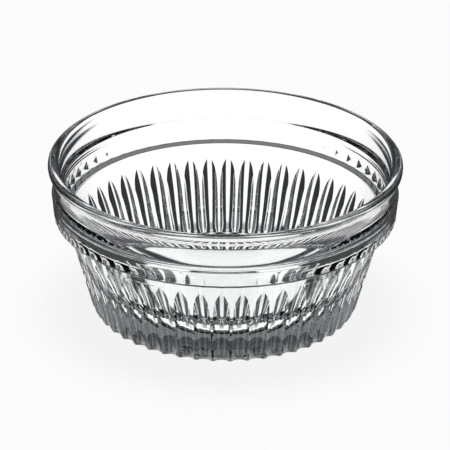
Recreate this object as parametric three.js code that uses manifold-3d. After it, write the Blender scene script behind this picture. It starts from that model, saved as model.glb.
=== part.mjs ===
// A clear pressed-glass ramekin: one pressing with a fluted body, a ribbed collar and a rounded lip.
// Millimetres, +Z up, standing on its foot ring, the axis of the bowl on Z, a flute facing -Y.

import * as THREE from 'three';
import { mergeVertices } from 'three/addons/utils/BufferGeometryUtils.js';
import Module from 'manifold-3d';

// Overall size
const RIM_DIAMETER = 89;
const HEIGHT = 40;

// Body: a cone that the ridges between the flutes lie on, with a steeper bevel round the foot
const FOOT_RADIUS = 33.4;
const BODY_TAPER = 0.27;
const FOOT_BOTTOM_RADIUS = 32.9;
const FOOT_BEVEL_HEIGHT = 1.8;
const FOOT_RECESS_RADIUS = 28.4;
const FOOT_RECESS_DEPTH = 0.7;

// Flutes of the body: gouges of round section that run out in a pointed tip below the collar
const FLUTES = { count: 48, start: 0, tip: 22.3, share: 0.88, runOut: 2.4, sectionRadius: 2.35 };
const FLUTE_LEVELS = 6;

// Collar: a wider band with shallow arched cells, standing over the body by a flat ledge. A rib between
// two cells faces the front.
const COLLAR_BOTTOM = 25.6;
const COLLAR_RADIUS = 43.1;
const COLLAR_TAPER = 0.085;
const RIBS = { count: 60, start: 0.5, tip: 29.7, share: 0.9, runOut: 0.5, sectionRadius: 12 };
const RIB_LEVELS = 3;

// Fine crease above the cells, and the bead ring over it
const CREASE = { radius: 43.34, height: 30.3 };
const BEAD = { radius: 43.6, bottom: 30.9, top: 31.6 };

// Hollow neck, which leans out under the lip, and the lip with its tight outer and wide inner round
const NECK_FOOT = { radius: 43.22, height: 32.1 };
const NECK_BOTTOM = { radius: 43.14, height: 33.3 };
const NECK_MIDDLE = { radius: 43.36, height: 35.2 };
const NECK_TOP = { radius: 43.72, height: 37.2 };
const LIP_UNDERSIDE = { radius: 44.3, height: 37.9 };
const LIP_OUTER_ROUND = 1.1;
const LIP_CREST_RADIUS = 42.9;
const LIP_INNER = { radius: 41.5, height: 38 };

// Inside: flat floor, wide round corner, tapering wall, a small hollow shoulder and a steep rim wall
const FLOOR_HEIGHT = 6.2;
const FLOOR_CORNER = 13;
const WALL_TAPER = 0.38;
const SHOULDER_EDGE = { radius: 39.7, height: 28.9 };
const SHOULDER_HOLLOW = { radius: 40.5, height: 30.1 };
const SHOULDER_TOP = { radius: 40.6, height: 31 };
const RIM_WALL = { radius: 41.2, height: 35 };

// Facets: columns across one gouge, steps round the smooth inside, steps of a bend
const FLUTE_COLUMNS = [-1, -0.55, 0, 0.55, 1];
const RIB_COLUMNS = [-1, 0, 1];
const INSIDE_STEPS = 72;
const ARC_STEPS = 2;
const OVERLAP = 1.2;
const LIP_CUT_START = THREE.MathUtils.degToRad(100);

const wasm = await Module();
wasm.setup();

// Radius of the cone that carries the ridges, at a height
const ridgeRadius = (z) => FOOT_RADIUS + BODY_TAPER * z;

// Radius of the tapering wall inside, at a height
const wallRadius = (z) => SHOULDER_EDGE.radius - WALL_TAPER * (SHOULDER_EDGE.height - z);

// Turns a profile of (radius, height) points round Z and presses gouges into it. A gouge has a round
// section and widens quickly below its tip. Its outer columns stay on its edges, so that the pointed
// outline is exact.
function gougedLathe(points, columns, { count, start, tip, share, runOut, sectionRadius }) {
  const steps = count * columns.length;
  const pitch = (2 * Math.PI) / count;
  const plainSpread = (columns.length - 1) / (2 * columns.length);
  const bow = (aside) => Math.sqrt(sectionRadius ** 2 - aside ** 2);
  const geometry = new THREE.LatheGeometry(points, steps);
  const position = geometry.attributes.position;
  for (let step = 0; step <= steps; step += 1) {
    const centre = pitch * (start + Math.floor(step / columns.length));
    const across = columns[step % columns.length];
    points.forEach(({ x: radius, y: height }, row) => {
      const gouged = height <= tip;
      const spread = gouged ? (share / 2) * (1 - Math.exp((height - tip) / runOut)) : plainSpread;
      const halfWidth = spread * pitch * radius;
      const aside = across * halfWidth;
      const angle = centre + (radius > 0 ? aside / radius : 0);
      const drop = gouged ? bow(aside) - bow(halfWidth) : 0;
      const r = Math.max(radius - drop, 0);
      position.setXYZ(step * points.length + row, r * Math.sin(angle), height, r * Math.cos(angle));
    });
  }
  return geometry;
}

// A closed geometry turned from the lathe's Y axis to Z, as a solid that can be cut and joined
function solidOf(geometry) {
  geometry.deleteAttribute('normal');
  geometry.deleteAttribute('uv');
  geometry.rotateX(Math.PI / 2);
  const merged = mergeVertices(geometry);
  return new wasm.Manifold(new wasm.Mesh({
    numProp: 3,
    vertProperties: new Float32Array(merged.attributes.position.array),
    triVerts: new Uint32Array(merged.index.array),
  }));
}

// The finished solid as a geometry again
function geometryOf(solid) {
  const mesh = solid.getMesh();
  const geometry = new THREE.BufferGeometry();
  geometry.setAttribute('position', new THREE.BufferAttribute(mesh.vertProperties, 3));
  geometry.setIndex(new THREE.BufferAttribute(mesh.triVerts, 1));
  geometry.computeVertexNormals();
  return geometry;
}

// Fluted body, solid to the axis, from the table to just inside the collar
function bodySolid() {
  const top = COLLAR_BOTTOM + OVERLAP;
  const profile = new THREE.Path();
  profile.moveTo(0, 0);
  profile.lineTo(FOOT_BOTTOM_RADIUS, 0);
  for (let level = FLUTE_LEVELS; level >= 0; level -= 1) {
    const height = FLUTES.tip - (FLUTES.tip - FOOT_BEVEL_HEIGHT) * (level / FLUTE_LEVELS) ** 2;
    profile.lineTo(ridgeRadius(height), height);
  }
  profile.lineTo(ridgeRadius(top), top);
  profile.lineTo(0, top);
  return solidOf(gougedLathe(profile.getPoints(), FLUTE_COLUMNS, FLUTES));
}

// Collar, bead ring, neck and the outer half of the lip, solid to the axis
function rimSolid() {
  const lipRadius = RIM_DIAMETER / 2 - LIP_OUTER_ROUND;
  const lipHeight = HEIGHT - LIP_OUTER_ROUND;
  const profile = new THREE.Path();
  profile.moveTo(0, COLLAR_BOTTOM);
  for (let level = 0; level <= RIB_LEVELS; level += 1) {
    const below = (RIBS.tip - COLLAR_BOTTOM) * (1 - level / RIB_LEVELS) ** 2;
    const rise = RIBS.tip - COLLAR_BOTTOM - below;
    profile.lineTo(COLLAR_RADIUS + COLLAR_TAPER * rise, COLLAR_BOTTOM + rise);
  }
  profile.lineTo(CREASE.radius, CREASE.height);
  profile.lineTo(BEAD.radius, BEAD.bottom);
  profile.lineTo(BEAD.radius, BEAD.top);
  profile.lineTo(NECK_FOOT.radius, NECK_FOOT.height);
  profile.lineTo(NECK_BOTTOM.radius, NECK_BOTTOM.height);
  profile.lineTo(NECK_MIDDLE.radius, NECK_MIDDLE.height);
  profile.lineTo(NECK_TOP.radius, NECK_TOP.height);
  profile.lineTo(LIP_UNDERSIDE.radius, LIP_UNDERSIDE.height);
  profile.absarc(lipRadius, lipHeight, LIP_OUTER_ROUND, 0, Math.PI / 2, false);
  profile.lineTo(0, HEIGHT);
  return solidOf(gougedLathe(profile.getPoints(ARC_STEPS), RIB_COLUMNS, RIBS));
}

// Everything that the plunger leaves empty, up to above the lip
function cavitySolid() {
  const cornerHeight = FLOOR_HEIGHT + FLOOR_CORNER;
  const cornerRadius = wallRadius(cornerHeight) - FLOOR_CORNER * Math.hypot(1, WALL_TAPER);
  const lipWidth = LIP_CREST_RADIUS - LIP_INNER.radius;
  const lipRise = HEIGHT - LIP_INNER.height;
  const cutRadius = LIP_CREST_RADIUS + lipWidth * Math.cos(LIP_CUT_START);
  const profile = new THREE.Path();
  profile.moveTo(0, FLOOR_HEIGHT);
  profile.lineTo(cornerRadius, FLOOR_HEIGHT);
  profile.absarc(cornerRadius, cornerHeight, FLOOR_CORNER, -Math.PI / 2, -Math.atan(WALL_TAPER), false);
  profile.lineTo(SHOULDER_EDGE.radius, SHOULDER_EDGE.height);
  const hollow = [SHOULDER_HOLLOW.radius, SHOULDER_HOLLOW.height];
  profile.quadraticCurveTo(...hollow, SHOULDER_TOP.radius, SHOULDER_TOP.height);
  profile.lineTo(RIM_WALL.radius, RIM_WALL.height);
  profile.lineTo(LIP_INNER.radius, LIP_INNER.height);
  profile.absellipse(LIP_CREST_RADIUS, LIP_INNER.height, lipWidth, lipRise, Math.PI, LIP_CUT_START, true);
  profile.lineTo(cutRadius, HEIGHT + OVERLAP);
  profile.lineTo(0, HEIGHT + OVERLAP);
  return solidOf(new THREE.LatheGeometry(profile.getPoints(ARC_STEPS), INSIDE_STEPS));
}

// Shallow round recess under the base, which leaves a flat ring to stand on
function recessSolid() {
  const profile = new THREE.Path();
  profile.moveTo(0, -OVERLAP);
  profile.lineTo(FOOT_RECESS_RADIUS, -OVERLAP);
  profile.lineTo(FOOT_RECESS_RADIUS, 0);
  profile.lineTo(FOOT_RECESS_RADIUS - FOOT_RECESS_DEPTH, FOOT_RECESS_DEPTH);
  profile.lineTo(0, FOOT_RECESS_DEPTH);
  return solidOf(new THREE.LatheGeometry(profile.getPoints(), INSIDE_STEPS));
}

const clearGlass = new THREE.MeshStandardMaterial({
  name: 'clear_glass',
  color: 0xdfe6e6,
  roughness: 0.05,
  metalness: 0,
  transparent: true,
  opacity: 0.35,
});

const blank = bodySolid().add(rimSolid());
const bowl = new THREE.Mesh(geometryOf(blank.subtract(cavitySolid()).subtract(recessSolid())), clearGlass);
bowl.name = 'glass_bowl';

const ramekin = new THREE.Group();
ramekin.name = 'ramekin';
ramekin.add(bowl);

export default ramekin;
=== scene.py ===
# %% [markdown]
# This lesson dresses a small ramekin of clear pressed glass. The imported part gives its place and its
# outer size. Here it gets a fine, smooth skin of glass with the same flutes, cells, bead and lip, and a
# studio in which clear glass can draw its own dark and light lines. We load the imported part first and
# keep its box, so that we can show at the end that the new skin is no bigger.

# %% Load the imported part
import math

import bmesh
import bpy
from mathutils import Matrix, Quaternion, Vector


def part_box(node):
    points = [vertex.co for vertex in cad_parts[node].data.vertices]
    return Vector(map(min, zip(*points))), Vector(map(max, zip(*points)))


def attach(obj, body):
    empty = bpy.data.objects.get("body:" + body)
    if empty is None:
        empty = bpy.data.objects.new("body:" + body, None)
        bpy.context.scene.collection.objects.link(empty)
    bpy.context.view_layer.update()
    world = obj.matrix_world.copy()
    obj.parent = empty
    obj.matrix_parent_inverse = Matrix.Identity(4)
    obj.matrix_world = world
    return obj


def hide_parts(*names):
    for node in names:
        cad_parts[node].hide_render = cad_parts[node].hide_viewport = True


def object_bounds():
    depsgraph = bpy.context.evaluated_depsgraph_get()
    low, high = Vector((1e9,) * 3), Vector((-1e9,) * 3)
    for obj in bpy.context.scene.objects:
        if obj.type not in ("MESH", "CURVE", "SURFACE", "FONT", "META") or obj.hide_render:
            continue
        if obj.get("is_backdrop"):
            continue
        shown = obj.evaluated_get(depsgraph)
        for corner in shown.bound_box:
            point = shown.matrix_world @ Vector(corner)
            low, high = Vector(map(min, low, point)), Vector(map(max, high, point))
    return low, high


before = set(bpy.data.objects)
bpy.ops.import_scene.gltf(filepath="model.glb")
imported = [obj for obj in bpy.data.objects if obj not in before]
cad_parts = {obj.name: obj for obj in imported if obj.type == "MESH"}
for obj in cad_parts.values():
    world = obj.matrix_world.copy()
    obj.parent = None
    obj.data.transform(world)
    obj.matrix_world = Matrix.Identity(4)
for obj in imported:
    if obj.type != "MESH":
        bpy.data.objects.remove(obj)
cad_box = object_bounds()
low_corner, high_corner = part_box("glass_bowl")
MM = 0.001
rim_radius = (high_corner[0] - low_corner[0]) / 2 / MM
height = (high_corner[2] - low_corner[2]) / MM
print(f"rim radius {rim_radius:.2f} mm, height {height:.2f} mm")

# %% [markdown]
# Pressed glass starts as a gob in a mould, and a plunger comes down into it. Apart from the flutes and
# the cells, everything that the mould and the plunger leave is round. A Screw modifier could turn it
# from a curve, but we want to choose where every row of points lies, for the flutes. So we draw half of
# the section as a chain of points, (radius, height) in millimetres, and spin it later. The underside
# comes first: a shallow recess keeps the middle off the table, so that the bowl stands on a ring and
# doesn't rock. A helper softens the corners.

# %% Underside
RECESS_MIDDLE, RECESS_RADIUS, RECESS_DEPTH = 14.0, 28.4, 0.7
RECESS_ROUND, RECESS_EDGE, RING_EDGE = 1.8, 0.2, 0.4
FOOT_BOTTOM, FOOT_ROUND, FOOT_EDGE_OUT, FOOT_EDGE_UP = 32.9, 0.3, 0.12, 0.22
SOFT_STEPS = 3


def bend(start, corner, end, steps):
    """Points on a soft corner between two straight stretches."""
    points = []
    for i in range(steps + 1):
        t = i / steps
        shares = ((1 - t) ** 2, 2 * t * (1 - t), t * t)
        radius, z = (sum(share * value for share, value in zip(shares, values))
                     for values in zip(start, corner, end))
        points.append((radius, z))
    return points


section = [(0.0, RECESS_DEPTH), (RECESS_MIDDLE, RECESS_DEPTH)]
recess_start, recess_corner = (RECESS_RADIUS - RECESS_ROUND, RECESS_DEPTH), (RECESS_RADIUS, RECESS_DEPTH)
section += bend(recess_start, recess_corner, (RECESS_RADIUS, RECESS_EDGE), SOFT_STEPS)
section += [(RECESS_RADIUS + RING_EDGE, 0.0)]
foot_edge = (FOOT_BOTTOM + FOOT_EDGE_OUT, FOOT_EDGE_UP)
section += bend((FOOT_BOTTOM - FOOT_ROUND, 0.0), (FOOT_BOTTOM, 0.0), foot_edge, SOFT_STEPS)
print(f"underside: {len(section)} points, {2 * FOOT_BOTTOM:.1f} mm across")

# %% [markdown]
# Round the ring, a short bevel leads up to the body, which is a cone: it lets the glass leave the mould.
# Two points would be enough for a cone, but the flutes need rows to bend along. The rows lie closer
# together near the tips of the flutes, where the shape changes most.

# %% Body
FOOT_RADIUS, BODY_TAPER = 33.4, 0.27
BEVEL_HEIGHT, BEVEL_ROWS = 1.8, (0.4, 0.8)
FLUTE_TIP, BODY_ROWS = 22.3, 19
ABOVE_TIP, PLAIN_ROW = 0.1, 23.7


def ridge_radius(z):
    return FOOT_RADIUS + BODY_TAPER * z


bevel_width = ridge_radius(BEVEL_HEIGHT) - FOOT_BOTTOM
section += [(FOOT_BOTTOM + bevel_width * t, BEVEL_HEIGHT * t) for t in BEVEL_ROWS]
for i in range(BODY_ROWS + 1):
    z = FLUTE_TIP - (FLUTE_TIP - BEVEL_HEIGHT) * (1 - i / BODY_ROWS) ** 2
    section.append((ridge_radius(z), z))
section += [(ridge_radius(z), z) for z in (FLUTE_TIP + ABOVE_TIP, PLAIN_ROW)]
print(f"up to the body's plain band: {len(section)} points, {section[-1][1]:.1f} mm high")

# %% [markdown]
# The collar stands out over the body with a flat underside, by which a ring or a rack can carry the
# bowl. A fine crease and a low bead finish it above, and from the bead a soft hollow leads into the
# neck, which leans out to the lip. Rings of their own would be quick to make, but pressed glass has no
# joints and would show them, so all of this goes on in the same chain of points.

# %% Collar, bead and neck
COLLAR_BOTTOM, COLLAR_RADIUS, COLLAR_TAPER = 25.6, 43.1, 0.085
LEDGE_ROUND, COLLAR_ROUND, COLLAR_LEAN = 0.5, 0.3, 0.03
CELL_TIP, CELL_ROWS, CELL_CROWDING = 29.7, 9, 1.6
CREASE = (43.45, 29.85), (43.34, 30.3), (43.42, 30.5)
BEAD = (43.47, 30.62), (43.62, 30.9), (43.62, 31.3)
NECK_HOLLOW = (43.57, 31.5), (43.17, 32.7), (43.18, 34.0)
NECK_MIDDLE = (43.36, 35.2)
NECK_TOP = (43.68, 37.1), (43.78, 37.6), (44.1, 37.85)
HOLLOW_STEPS = 7

shoulder = ridge_radius(COLLAR_BOTTOM)
below_shoulder = (ridge_radius(COLLAR_BOTTOM - LEDGE_ROUND), COLLAR_BOTTOM - LEDGE_ROUND)
ledge_start = (shoulder + LEDGE_ROUND, COLLAR_BOTTOM)
section += bend(below_shoulder, (shoulder, COLLAR_BOTTOM), ledge_start, SOFT_STEPS)
ledge_end = (COLLAR_RADIUS - COLLAR_ROUND, COLLAR_BOTTOM)
collar_foot = (COLLAR_RADIUS + COLLAR_LEAN, COLLAR_BOTTOM + COLLAR_ROUND)
section += bend(ledge_end, (COLLAR_RADIUS, COLLAR_BOTTOM), collar_foot, SOFT_STEPS)
for i in range(1, CELL_ROWS + 1):
    z = CELL_TIP - (CELL_TIP - collar_foot[1]) * (1 - i / CELL_ROWS) ** CELL_CROWDING
    section.append((COLLAR_RADIUS + COLLAR_TAPER * (z - COLLAR_BOTTOM), z))
section += bend(*CREASE, SOFT_STEPS) + bend(*BEAD, SOFT_STEPS)
section += bend(*NECK_HOLLOW, HOLLOW_STEPS) + [NECK_MIDDLE] + bend(*NECK_TOP, SOFT_STEPS)
print(f"up to the neck: {len(section)} points")

# %% [markdown]
# The lip is round outside and a wider oval inside, as fire polishing leaves it. A bevel on a sharp rim
# would make both sides alike, so a second helper draws arcs of an upright oval. The plunger makes the
# rest of the inside: a steep rim wall, a small stacking shoulder with a crisp lower edge, the tapering
# wall and the round bottom.

# %% Lip and inside
LIP_UNDERSIDE, LIP_LANDING, LIP_UNDERSIDE_STEPS = ((44.3, 38.0), (44.47, 38.3)), 0.1, 2
LIP_ROUND, LIP_CREST, LIP_INNER, LIP_INNER_HEIGHT = 1.1, 42.9, 41.5, 38.0
LIP_OUTER_STEPS, LIP_INNER_STEPS = 6, 7
RIM_WALL = (LIP_INNER, 37.5), (41.45, 36.4), (41.2, 35.0)
SHOULDER_TOP, SHOULDER_HOLLOW, SHOULDER_EDGE = (40.39, 31.0), (40.14, 29.77), (39.71, 28.9)
WALL_TAPER, WALL_ROWS = 0.38, (28.8, 25.0, 20.0)
FLOOR_MIDDLE, FLOOR_HEIGHT, FLOOR_CORNER, CORNER_STEPS = 12.0, 6.2, 13.0, 12


def arc(centre, across, rise, start, end, steps):
    """Points on an upright oval, angles in degrees from straight outwards, upwards positive."""
    angles = [math.radians(start + (end - start) * i / steps) for i in range(steps + 1)]
    return [(centre[0] + across * math.cos(a), centre[1] + rise * math.sin(a)) for a in angles]


def wall_radius(z):
    return SHOULDER_EDGE[0] - WALL_TAPER * (SHOULDER_EDGE[1] - z)


lip_height = height - LIP_ROUND
section += bend(*LIP_UNDERSIDE, (rim_radius, lip_height - LIP_LANDING), LIP_UNDERSIDE_STEPS)
section += arc((rim_radius - LIP_ROUND, lip_height), LIP_ROUND, LIP_ROUND, 0, 90, LIP_OUTER_STEPS)
lip_width, lip_rise = LIP_CREST - LIP_INNER, height - LIP_INNER_HEIGHT
section += arc((LIP_CREST, LIP_INNER_HEIGHT), lip_width, lip_rise, 90, 180, LIP_INNER_STEPS)
section += bend(*RIM_WALL, SOFT_STEPS)
section += bend(SHOULDER_TOP, SHOULDER_HOLLOW, SHOULDER_EDGE, HOLLOW_STEPS)
section += [(wall_radius(z), z) for z in WALL_ROWS]
corner_height = FLOOR_HEIGHT + FLOOR_CORNER
corner_radius = wall_radius(corner_height) - FLOOR_CORNER * math.hypot(1, WALL_TAPER)
wall_lean = math.degrees(math.atan(WALL_TAPER))
section += arc((corner_radius, corner_height), FLOOR_CORNER, FLOOR_CORNER, -wall_lean, -90, CORNER_STEPS)
section += [(FLOOR_MIDDLE, FLOOR_HEIGHT), (0.0, FLOOR_HEIGHT)]
print(f"{len(section)} points in the whole section")

# %% [markdown]
# A spin turns the section into the blank. Its steps are a multiple of both the flutes and the cells, so
# that each of them gets the same columns of points. We turn only one slice now, press the flutes into
# it, and copy the slice round afterwards. The pattern repeats every thirty degrees, and this saves most
# of the work.

# %% Spin one slice of the blank
SPIN_STEPS, SLICES = 720, 12


def spin_slice(points):
    bm = bmesh.new()
    verts = [bm.verts.new((0.0, -radius, z)) for radius, z in points]
    edges = [bm.edges.new(pair) for pair in zip(verts, verts[1:])]
    bmesh.ops.spin(bm, geom=verts + edges, cent=(0, 0, 0), axis=(0, 0, 1), angle=2 * math.pi / SLICES,
                   steps=SPIN_STEPS // SLICES)
    return bm


bowl_mesh = spin_slice(section)
print(f"slice: {len(bowl_mesh.verts)} points, {len(bowl_mesh.faces)} faces")

# %% [markdown]
# The mould's ribs press gouges of round section into the glass: deep flutes in the body and very
# shallow cells in the collar. Each gouge widens quickly below its tip and then runs along the wall, so
# its outline is a pointed leaf or an arch. Cutting them out with booleans would leave ragged triangles
# that glass shows at once. Instead we slide the columns of points onto the two edges of each outline
# and sink what lies between them. The edges are marked sharp, because glass fills a mould's corners
# crisply.

# %% Press the flutes and the cells
FLUTES = {"count": 48, "start": 0.0, "tip": FLUTE_TIP, "share": 0.88, "run_out": 2.4, "bow_radius": 2.35,
          "edge_column": 6}
CELLS = {"count": 60, "start": 0.5, "tip": CELL_TIP, "share": 0.88, "run_out": 0.45, "bow_radius": 22.0,
         "edge_column": 5}
BODY_MARGIN, COLLAR_MARGIN, LEDGE_MARGIN = 1.2, 0.4, 0.01
TIP_MARGIN, LEAST_RISE = 1e-6, 1e-5


def gouge(bm, belongs, count, start, tip, share, run_out, bow_radius, edge_column):
    """Presses one row of gouges and returns how many points lie on their outlines."""
    columns = SPIN_STEPS // count
    pitch = 2 * math.pi / count
    outline = set()

    def bow(aside):
        return math.sqrt(bow_radius ** 2 - aside ** 2)

    for vert in bm.verts:
        x, y, z = vert.co
        radius = math.hypot(x, y)
        if z > tip - TIP_MARGIN or not belongs(radius, z):
            continue
        column = round((math.atan2(x, -y) / pitch - start) * columns)
        number = round(column / columns)
        off_centre = column - number * columns
        half_pitch = pitch * radius / 2
        half_width = share * half_pitch * (1 - math.exp((z - tip) / run_out))
        if abs(off_centre) <= edge_column:
            aside = half_width * abs(off_centre) / edge_column
            drop = bow(aside) - bow(half_width)
        else:
            on_land = (abs(off_centre) - edge_column) / (columns / 2 - edge_column)
            aside = half_width + (half_pitch - half_width) * on_land
            drop = 0.0
        if abs(off_centre) == edge_column:
            outline.add(vert)
        turned = (number + start) * pitch + math.copysign(aside, off_centre) / radius
        vert.co = ((radius - drop) * math.sin(turned), (drop - radius) * math.cos(turned), z)
    for edge in bm.edges:
        one, two = edge.verts
        if one in outline and two in outline and abs(one.co.z - two.co.z) > LEAST_RISE:
            edge.smooth = False
    return len(outline)


def on_body(radius, z):
    return radius > ridge_radius(z) - BODY_MARGIN


def on_collar(radius, z):
    return radius > COLLAR_RADIUS - COLLAR_MARGIN and z > COLLAR_BOTTOM - LEDGE_MARGIN


flute_points = gouge(bowl_mesh, on_body, **FLUTES)
cell_points = gouge(bowl_mesh, on_collar, **CELLS)
print(f"edge points in the slice: {flute_points} on the flutes, {cell_points} on the cells")

# %% [markdown]
# Now the slice goes round. An Array modifier could copy it too, but a spin that duplicates keeps it all
# in one mesh, in which the seams can be merged. Eleven copies close the ring. The normals are worked out
# again afterwards, because light in glass has to know inside from outside. A closed skin has no open
# edge.

# %% Copy the slice round
SEAM_GAP = 1e-4


def close_ring(bm):
    bmesh.ops.spin(bm, geom=bm.verts[:] + bm.edges[:] + bm.faces[:], cent=(0, 0, 0), axis=(0, 0, 1),
                   angle=2 * math.pi * (SLICES - 1) / SLICES, steps=SLICES - 1, use_duplicate=True)
    bmesh.ops.remove_doubles(bm, verts=bm.verts, dist=SEAM_GAP)
    bmesh.ops.recalc_face_normals(bm, faces=bm.faces)


close_ring(bowl_mesh)
open_edges = [edge for edge in bowl_mesh.edges if not edge.is_manifold]
print(f"ring: {len(bowl_mesh.faces)} faces, {len(open_edges)} open edges")

# %% [markdown]
# Soda-lime glass is almost colourless. A faint grey-green shows only where light has far to go, as in
# the thick base, so the colour belongs to the volume and not to the surface, where it would tint thin
# and thick glass alike. The surface keeps a trace of the mould: waves much too shallow to see, and a
# polish that isn't quite even. Both are noise laid out by the object's own coordinates.

# %% Glass
WHITE = (1.0, 1.0, 1.0, 1.0)
REFRACTION = 1.52
WAVE_SIZE, WAVE_DEPTH = 110.0, 0.000008
POLISHED, UNPOLISHED, DULLEST = 0.35, 0.75, 0.012
TINT, TINT_DENSITY = (0.80, 0.90, 0.90, 1.0), 12.0


def clear_glass():
    material = bpy.data.materials.new("clear_glass")
    material.use_nodes = True
    nodes, links = material.node_tree.nodes, material.node_tree.links
    shader = nodes["Principled BSDF"]
    shader.inputs["Base Color"].default_value = WHITE
    shader.inputs["Transmission Weight"].default_value = 1.0
    shader.inputs["IOR"].default_value = REFRACTION
    place = nodes.new("ShaderNodeTexCoord")
    waves = nodes.new("ShaderNodeTexNoise")
    waves.inputs["Scale"].default_value = WAVE_SIZE
    links.new(place.outputs["Object"], waves.inputs["Vector"])
    bump = nodes.new("ShaderNodeBump")
    bump.inputs["Distance"].default_value = WAVE_DEPTH
    links.new(waves.outputs["Fac"], bump.inputs["Height"])
    links.new(bump.outputs["Normal"], shader.inputs["Normal"])
    polish = nodes.new("ShaderNodeMapRange")
    polish.inputs["From Min"].default_value = POLISHED
    polish.inputs["From Max"].default_value = UNPOLISHED
    polish.inputs["To Max"].default_value = DULLEST
    links.new(waves.outputs["Fac"], polish.inputs["Value"])
    links.new(polish.outputs["Result"], shader.inputs["Roughness"])
    tint = nodes.new("ShaderNodeVolumeAbsorption")
    tint.inputs["Color"].default_value = TINT
    tint.inputs["Density"].default_value = TINT_DENSITY
    links.new(tint.outputs["Volume"], nodes["Material Output"].inputs["Volume"])
    return material


glass = clear_glass()
print(f"{glass.name}: {len(glass.node_tree.nodes)} nodes")

# %% [markdown]
# The section was drawn in millimetres, so the mesh is scaled to metres once, before it becomes an
# object. The object itself stays at the origin with no scale of its own. It takes the place of the
# packed bowl, which is hidden, and gets the glass in its one material slot.

# %% The finished bowl
def finished(bm, name, material):
    bmesh.ops.scale(bm, vec=(MM, MM, MM), verts=bm.verts)
    for face in bm.faces:
        face.smooth = True
    mesh = bpy.data.meshes.new(name)
    bm.to_mesh(mesh)
    bm.free()
    mesh.materials.append(material)
    piece = bpy.data.objects.new(name, mesh)
    bpy.context.scene.collection.objects.link(piece)
    return piece


bowl = finished(bowl_mesh, "pressed_glass_bowl", glass)
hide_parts("glass_bowl")
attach(bowl, "root")
triangles = sum(len(face.vertices) - 2 for face in bowl.data.polygons)
print(f"{bowl.name}: {triangles} triangles")

# %% [markdown]
# Clear glass has no colour of its own to show: it shows the studio, bent. So the studio is built for it.
# The floor is pale and keeps a faint shadow. Rays that have passed through the glass don't stop at the
# floor but go on to the studio's walls, which stand for the lit floor far behind and the black cards
# beside it.

# %% Floor
FLOOR_RADIUS, FLOOR_SIDES, FLOOR_DROP = 4.0, 96, 0.0002
FLOOR_PALE, FLOOR_DULL, FLOOR_GLOW = (0.75, 0.75, 0.76, 1.0), 0.9, 0.88


def maths(tree, operation, *values):
    """A number worked out by a node; each value is a number or the output of another node."""
    node = tree.nodes.new("ShaderNodeMath")
    node.operation = operation
    for socket, value in zip(node.inputs, values):
        if isinstance(value, bpy.types.NodeSocket):
            tree.links.new(value, socket)
        else:
            socket.default_value = value
    return node.outputs[0]


def pale_floor():
    material = bpy.data.materials.new("pale_floor")
    material.use_nodes = True
    tree = material.node_tree
    shader = tree.nodes["Principled BSDF"]
    shader.inputs["Base Color"].default_value = FLOOR_PALE
    shader.inputs["Roughness"].default_value = FLOOR_DULL
    path = tree.nodes.new("ShaderNodeLightPath")
    glow = tree.nodes.new("ShaderNodeEmission")
    glow.inputs["Color"].default_value = WHITE
    mix = tree.nodes.new("ShaderNodeMixShader")
    tree.links.new(maths(tree, "MULTIPLY", path.outputs["Is Camera Ray"], FLOOR_GLOW), mix.inputs[0])
    tree.links.new(shader.outputs[0], mix.inputs[1])
    tree.links.new(glow.outputs[0], mix.inputs[2])
    tree.links.new(mix.outputs[0], tree.nodes["Material Output"].inputs["Surface"])
    return material


floor_bm = bmesh.new()
bmesh.ops.create_circle(floor_bm, cap_ends=True, segments=FLOOR_SIDES, radius=FLOOR_RADIUS)
floor_mesh = bpy.data.meshes.new("studio_floor")
floor_bm.to_mesh(floor_mesh)
floor_bm.free()
floor_mesh.materials.append(pale_floor())
studio_floor = bpy.data.objects.new("studio_floor", floor_mesh)
studio_floor.location.z = -FLOOR_DROP
bpy.context.scene.collection.objects.link(studio_floor)
studio_floor.visible_transmission = False
studio_floor.visible_glossy = False
studio_floor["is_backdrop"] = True
print(f"floor: {2 * FLOOR_RADIUS:.0f} m across")

# %% [markdown]
# Photographers light clear glass with a narrow bright field: a white strip behind it and black cards
# beside the strip. Glass that bends the light little stays white, and every edge that bends it past the
# strip draws a dark line. Our strip repeats every forty-five degrees, so that the bowl is lit alike from
# eight sides. Between two strips it looks darker. A strip fades steeply below, where the floor lies too
# near the bowl to be lit fully. Straight down the floor is white again, and a white band runs all round
# far away, just under the horizon.

# %% Studio: bright strips and dark cards
STRIPS, STRIP_HALF, STRIP_EDGE = 8, 7.5, 2.0
SKY_LEVEL, NEAR_FLOOR_LEVEL = 0.15, 0.16
NEAR_FLOOR, STRAIGHT_DOWN, HORIZON = (-56, -50), (-81, -75), (4, 9)
FAR_BAND_BOTTOM, FAR_BAND_TOP = (-18, -15), (-5, -2)

world = bpy.data.worlds.new("studio")
bpy.context.scene.world = world
world.use_nodes = True
studio = world.node_tree
direction = studio.nodes.new("ShaderNodeTexCoord")
split = studio.nodes.new("ShaderNodeSeparateXYZ")
studio.links.new(direction.outputs["Generated"], split.inputs[0])
across, ahead, up = split.outputs


def fade(value, start, end, first, last):
    """Goes from the first level to the last while the value goes from start to end."""
    node = studio.nodes.new("ShaderNodeMapRange")
    studio.links.new(value, node.inputs["Value"])
    for name, number in (("From Min", start), ("From Max", end), ("To Min", first), ("To Max", last)):
        node.inputs[name].default_value = number
    return node.outputs["Result"]


def climb(start, end, first, last):
    """The same by the angle above the horizon, in degrees."""
    return fade(up, math.sin(math.radians(start)), math.sin(math.radians(end)), first, last)


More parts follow.
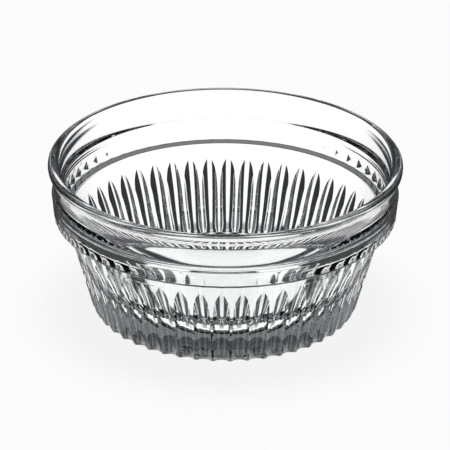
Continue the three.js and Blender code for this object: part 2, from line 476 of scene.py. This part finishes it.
azimuth = maths(studio, "MULTIPLY", maths(studio, "ARCTAN2", across, ahead), 180 / math.pi)
off_strip = maths(studio, "PINGPONG", azimuth, 180 / STRIPS)
strip = fade(off_strip, STRIP_HALF, STRIP_HALF + STRIP_EDGE, 1.0, 0.0)
strip = maths(studio, "MULTIPLY", strip, climb(*NEAR_FLOOR, NEAR_FLOOR_LEVEL, 1.0))
far_band = maths(studio, "MULTIPLY", climb(*FAR_BAND_BOTTOM, 0.0, 1.0), climb(*FAR_BAND_TOP, 1.0, 0.0))
field = maths(studio, "MAXIMUM", strip, far_band)
field = maths(studio, "MAXIMUM", field, climb(*STRAIGHT_DOWN, 1.0, 0.0))
field = maths(studio, "MULTIPLY", field, climb(*HORIZON, 1.0, 0.0))
field = maths(studio, "ADD", field, climb(*HORIZON, 0.0, SKY_LEVEL))
print(f"{STRIPS} strips, each {2 * STRIP_HALF:.0f} degrees wide")

# %% [markdown]
# Light that is thrown back inside the glass, in the foot, the collar and the sides, meets a softer room:
# dark below, grey above, and pale on the floor low down in the corners and behind. That gives the foot
# its even grey-green and lightens the sides of the body. Each ray carries its count of reflections, and
# that count chooses between the strips and the room. The camera itself sees plain white.

# %% Studio: the softer room for light thrown back in the glass
ROOM_ABOVE, ROOM_BELOW, UNDER_BOWL_SHADE_LEVEL = 0.16, 0.035, 0.3
EYE_LEVEL, CORNER_FLOOR, BACK_FLOOR, UNDER_BOWL = (-3, 3), (-32, -28), (-48, -42), (-80, -72)
SIDE_TO_CORNER, CORNER_EDGE, BACK_EDGE = 45.0, (26.0, 30.0), (-0.05, 0.1)
CARD_BLACK, STUDIO_STRENGTH = (0.020, 0.022, 0.025, 1.0), 1.13

off_side = maths(studio, "PINGPONG", azimuth, SIDE_TO_CORNER)
corner_window = fade(off_side, *CORNER_EDGE, 0.0, 1.0)
corner_window = maths(studio, "MULTIPLY", corner_window, climb(*CORNER_FLOOR, 1.0, 0.0))
back_window = fade(ahead, *BACK_EDGE, 0.0, 1.0)
back_window = maths(studio, "MULTIPLY", back_window, climb(*BACK_FLOOR, 1.0, 0.0))
windows = maths(studio, "MAXIMUM", corner_window, back_window)
# Straight down, the floor under the bowl is painted dimmer: a painted shadow of the bowl on the floor.
windows = maths(studio, "MULTIPLY", windows, climb(*UNDER_BOWL, UNDER_BOWL_SHADE_LEVEL, 1.0))
room = maths(studio, "MAXIMUM", climb(*EYE_LEVEL, ROOM_BELOW, ROOM_ABOVE), windows)
path = studio.nodes.new("ShaderNodeLightPath")
level = studio.nodes.new("ShaderNodeMix")
thrown_back = maths(studio, "GREATER_THAN", path.outputs["Glossy Depth"], 0.5)
for socket, value in (("Factor", thrown_back), ("A", field), ("B", room)):
    studio.links.new(value, level.inputs[socket])
shade = studio.nodes.new("ShaderNodeMix")
shade.data_type = "RGBA"
shade.inputs["A"].default_value = CARD_BLACK
shade.inputs["B"].default_value = WHITE
seen = path.outputs["Is Camera Ray"]
studio.links.new(maths(studio, "MAXIMUM", level.outputs["Result"], seen), shade.inputs["Factor"])
background = studio.nodes["Background"]
studio.links.new(shade.outputs["Result"], background.inputs["Color"])
studio.links.new(fade(seen, 0.0, 1.0, STUDIO_STRENGTH, 1.0), background.inputs["Strength"])
print(f"studio: {len(studio.nodes)} nodes")

# %% [markdown]
# One soft lamp high above throws the faint shadow on the floor. A wide disk gives it a soft edge, where
# a sun lamp would draw a hard one. The glass itself doesn't show the lamp.

# %% Lamp
LAMP_HEIGHT, LAMP_BACK, LAMP_WIDTH, LAMP_POWER = 1.2, 0.1, 0.5, 12.0

lamp_data = bpy.data.lights.new("top_soft_box", "AREA")
lamp_data.shape = "DISK"
lamp_data.size = LAMP_WIDTH
lamp_data.energy = LAMP_POWER
lamp = bpy.data.objects.new("top_soft_box", lamp_data)
lamp.location = (0.0, LAMP_BACK, LAMP_HEIGHT)
lamp.rotation_euler = (-lamp.location).to_track_quat("-Z", "Y").to_euler()
lamp.visible_glossy = False
lamp.visible_transmission = False
bpy.context.scene.collection.objects.link(lamp)
print(f"lamp: {LAMP_WIDTH} m wide, {LAMP_HEIGHT} m up")

# %% [markdown]
# The camera stands where the photographer stood: far away with a long lens, looking a good quarter of a
# right angle down into the bowl. The photograph leans by less than half a degree, so the camera is
# rolled by as much.

# %% Camera
CAMERA_TURN, CAMERA_RISE, CAMERA_ROLL = 1.05, 26.33, 0.43
CAMERA_DISTANCE, PIVOT_HEIGHT, AIM_HEIGHT, LENS = 0.9, 0.020, 0.0215, 284.7

turn, rise = math.radians(CAMERA_TURN), math.radians(CAMERA_RISE)
camera_data = bpy.data.cameras.new("camera")
camera_data.lens = LENS
camera = bpy.data.objects.new("camera", camera_data)
away = Vector((math.sin(turn) * math.cos(rise), -math.cos(turn) * math.cos(rise), math.sin(rise)))
camera.location = Vector((0, 0, PIVOT_HEIGHT)) + away * CAMERA_DISTANCE
look = (Vector((0, 0, AIM_HEIGHT)) - camera.location).to_track_quat("-Z", "Y")
camera.rotation_euler = (look @ Quaternion((0, 0, 1), math.radians(CAMERA_ROLL))).to_euler()
bpy.context.scene.collection.objects.link(camera)
bpy.context.scene.camera = camera
bpy.context.scene.view_settings.view_transform = "Standard"
print(f"camera: {CAMERA_RISE} degrees up, {CAMERA_DISTANCE} m away")

# %% [markdown]
# Last, we compare sizes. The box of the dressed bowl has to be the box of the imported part, give or take
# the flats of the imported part's coarser rounds.

boxes = {"cad": cad_box, "scene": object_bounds()}
for name, (lowest, highest) in boxes.items():
    print(name, [round((b - a) / MM, 2) for a, b in zip(lowest, highest)], "mm")
